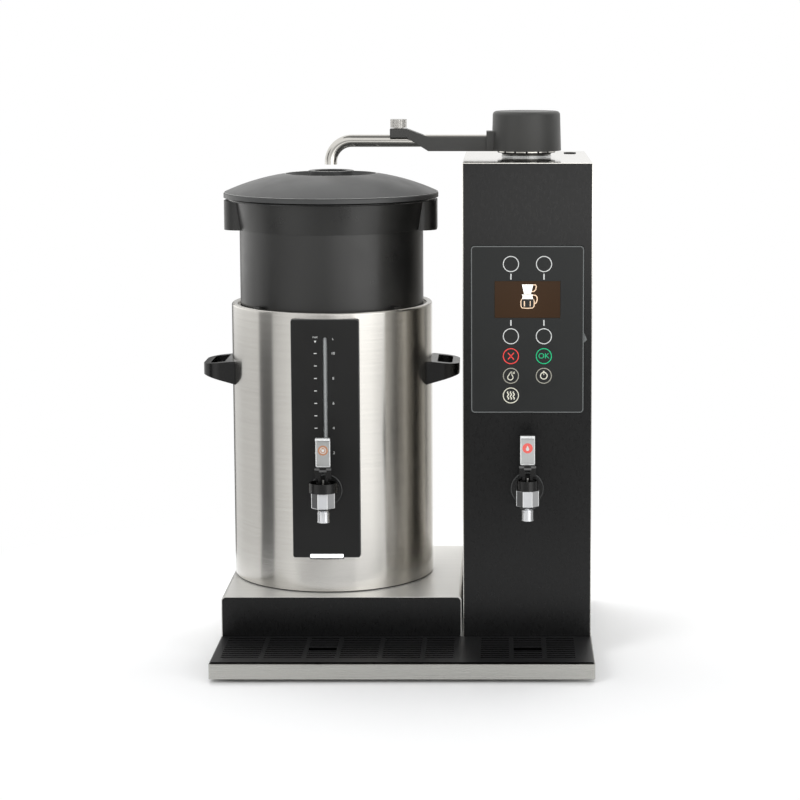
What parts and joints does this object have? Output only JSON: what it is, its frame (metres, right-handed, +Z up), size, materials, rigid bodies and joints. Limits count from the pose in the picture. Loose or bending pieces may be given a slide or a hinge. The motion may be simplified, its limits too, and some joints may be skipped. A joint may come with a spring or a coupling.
{
  "type": "filter coffee brewer with urn",
  "caption": "Bulk filter coffee brewer: column with control panel, hot water tap and swing arm over a removable insulated coffee urn with filter basket and tap.",
  "frame": {"origin": "on the counter, at the middle of the footprint with the urn's handle and lid", "axes": "+Z up, -Y towards the person who uses it, +X towards the column"},
  "size_m": [0.6054, 0.501, 0.8216],
  "materials": {
    "stainless": "brushed",
    "stainless_pan": "satin",
    "charcoal_coat": "satin",
    "panel_foil": "satin",
    "key_foil": "satin",
    "display_glass": "gloss",
    "charcoal_plastic": "matte",
    "black_plastic": "matte",
    "handle_plastic": "satin",
    "gauge_plastic": "matte",
    "clear_tube": "gloss",
    "light_lens": "gloss",
    "chrome": "polished",
    "polished_steel": "polished",
    "lever_plate": "satin",
    "rubber": "matte",
    "circuit_board": "satin",
    "brass": "satin",
    "copper_heater": "satin"
  },
  "bodies": {
    "root": {"base_frame": "stainless", "base_feet": "rubber", "shelf_casing": "stainless", "shelf_front": "charcoal_coat", "contact_block": "black_plastic", "column_casing": "stainless", "column_front": "charcoal_coat", "column_back": "stainless", "case_screws": "chrome", "column_grommet": "rubber", "panel_bezel": "panel_foil", "display_screen": "display_glass", "control_board": "circuit_board", "boiler_tank": "stainless_pan", "boiler_lid": "stainless_pan", "heating_element": "copper_heater", "inlet_valve": "brass", "hot_water_pipe": "stainless_pan", "brew_pipe": "stainless_pan", "cable_gland": "black_plastic", "hub_collar": "polished_steel", "hot_tap_rosette": "black_plastic", "hot_tap_body": "chrome", "hot_tap_bonnet": "black_plastic"},
    "tray": {"drip_tray": "black_plastic"},
    "cover": {"drip_cover": "black_plastic"},
    "swing_arm": {"arm_bracket": "charcoal_plastic", "hub_cap": "charcoal_plastic", "spout_pipe": "polished_steel"},
    "clamp": {"clamp_screw": "chrome"},
    "urn": {"urn_shell": "stainless", "urn_vessel": "stainless_pan", "urn_base": "black_plastic", "gauge_panel": "gauge_plastic", "gauge_tube": "clear_tube", "light_bar": "light_lens", "handle_left": "handle_plastic", "handle_right": "handle_plastic", "urn_heater": "copper_heater", "urn_tap_rosette": "black_plastic", "urn_tap_body": "chrome", "urn_tap_bonnet": "black_plastic"},
    "basket": {"filter_basket": "charcoal_plastic"},
    "support": {"filter_support": "charcoal_plastic"},
    "lid": {"basket_lid": "charcoal_plastic"},
    "hot_lever": {"hot_tap_lever": "black_plastic", "hot_tap_plate": "lever_plate"},
    "hot_stem": {"hot_tap_stem": "stainless_pan"},
    "urn_lever": {"urn_tap_lever": "black_plastic", "urn_tap_plate": "lever_plate"},
    "urn_stem": {"urn_tap_stem": "stainless_pan"},
    "key1": {"key_1": "key_foil"},
    "key2": {"key_2": "key_foil"},
    "key3": {"key_3": "key_foil"},
    "key4": {"key_4": "key_foil"},
    "key5": {"key_5": "key_foil"},
    "key6": {"key_6": "key_foil"},
    "key7": {"key_7": "key_foil"},
    "key8": {"key_8": "key_foil"},
    "key9": {"key_9": "key_foil"}
  },
  "joints": [
    {"name": "tray_lift", "type": "slide", "parent": "root", "child": "tray", "axis": [0, 0, 1], "range_m": [0, 0.03]},
    {"name": "cover_lift", "type": "slide", "parent": "tray", "child": "cover", "axis": [0, 0, 1], "range_m": [0, 0.025]},
    {"name": "arm_swing", "type": "hinge", "parent": "root", "child": "swing_arm", "pos_m": [0.20435, 0.0825, 0.7508], "axis": [0, 0, 1], "range_deg": [-90, 90]},
    {"name": "clamp_turn", "type": "hinge", "parent": "swing_arm", "child": "clamp", "pos_m": [0.00445, 0.0825, 0.794], "axis": [0, 0, 1], "continuous": true},
    {"name": "urn_slide", "type": "slide", "parent": "root", "child": "urn", "axis": [0, -1, 0], "range_m": [0, 0.35]},
    {"name": "basket_lift", "type": "slide", "parent": "urn", "child": "basket", "axis": [0, 0, 1], "range_m": [0, 0.024]},
    {"name": "support_lift", "type": "slide", "parent": "basket", "child": "support", "axis": [0, 0, 1], "range_m": [0, 0.1]},
    {"name": "lid_lift", "type": "slide", "parent": "basket", "child": "lid", "axis": [0, 0, 1], "range_m": [0, 0.024]},
    {"name": "hot_lever_tilt", "type": "hinge", "parent": "root", "child": "hot_lever", "pos_m": [0.20435, -0.1505, 0.2771], "axis": [1, 0, 0], "range_deg": [0, 30], "stiffness_Nm_per_rad": 0.15, "springref_deg": -17.19},
    {"name": "hot_stem_lift", "type": "slide", "parent": "root", "child": "hot_stem", "axis": [0, 0, 1], "range_m": [0, 0.003]},
    {"name": "urn_lever_tilt", "type": "hinge", "parent": "urn", "child": "urn_lever", "pos_m": [-0.10165, -0.1285, 0.2695], "axis": [1, 0, 0], "range_deg": [0, 30], "stiffness_Nm_per_rad": 0.15, "springref_deg": -17.19},
    {"name": "urn_stem_lift", "type": "slide", "parent": "urn", "child": "urn_stem", "axis": [0, 0, 1], "range_m": [0, 0.003]},
    {"name": "key_1_press", "type": "slide", "parent": "root", "child": "key1", "axis": [0, 1, 0], "range_m": [0, 0.0005], "stiffness_N_per_m": 600, "springref_m": -0.0005},
    {"name": "key_2_press", "type": "slide", "parent": "root", "child": "key2", "axis": [0, 1, 0], "range_m": [0, 0.0005], "stiffness_N_per_m": 600, "springref_m": -0.0005},
    {"name": "key_3_press", "type": "slide", "parent": "root", "child": "key3", "axis": [0, 1, 0], "range_m": [0, 0.0005], "stiffness_N_per_m": 600, "springref_m": -0.0005},
    {"name": "key_4_press", "type": "slide", "parent": "root", "child": "key4", "axis": [0, 1, 0], "range_m": [0, 0.0005], "stiffness_N_per_m": 600, "springref_m": -0.0005},
    {"name": "key_5_press", "type": "slide", "parent": "root", "child": "key5", "axis": [0, 1, 0], "range_m": [0, 0.0005], "stiffness_N_per_m": 600, "springref_m": -0.0005},
    {"name": "key_6_press", "type": "slide", "parent": "root", "child": "key6", "axis": [0, 1, 0], "range_m": [0, 0.0005], "stiffness_N_per_m": 600, "springref_m": -0.0005},
    {"name": "key_7_press", "type": "slide", "parent": "root", "child": "key7", "axis": [0, 1, 0], "range_m": [0, 0.0005], "stiffness_N_per_m": 600, "springref_m": -0.0005},
    {"name": "key_8_press", "type": "slide", "parent": "root", "child": "key8", "axis": [0, 1, 0], "range_m": [0, 0.0005], "stiffness_N_per_m": 600, "springref_m": -0.0005},
    {"name": "key_9_press", "type": "slide", "parent": "root", "child": "key9", "axis": [0, 1, 0], "range_m": [0, 0.0005], "stiffness_N_per_m": 600, "springref_m": -0.0005}
  ],
  "couplings": [
    {"joint": "hot_stem_lift", "follows": "hot_lever_tilt", "m_per_rad": 0.0057296},
    {"joint": "urn_stem_lift", "follows": "urn_lever_tilt", "m_per_rad": 0.0057296}
  ]
}
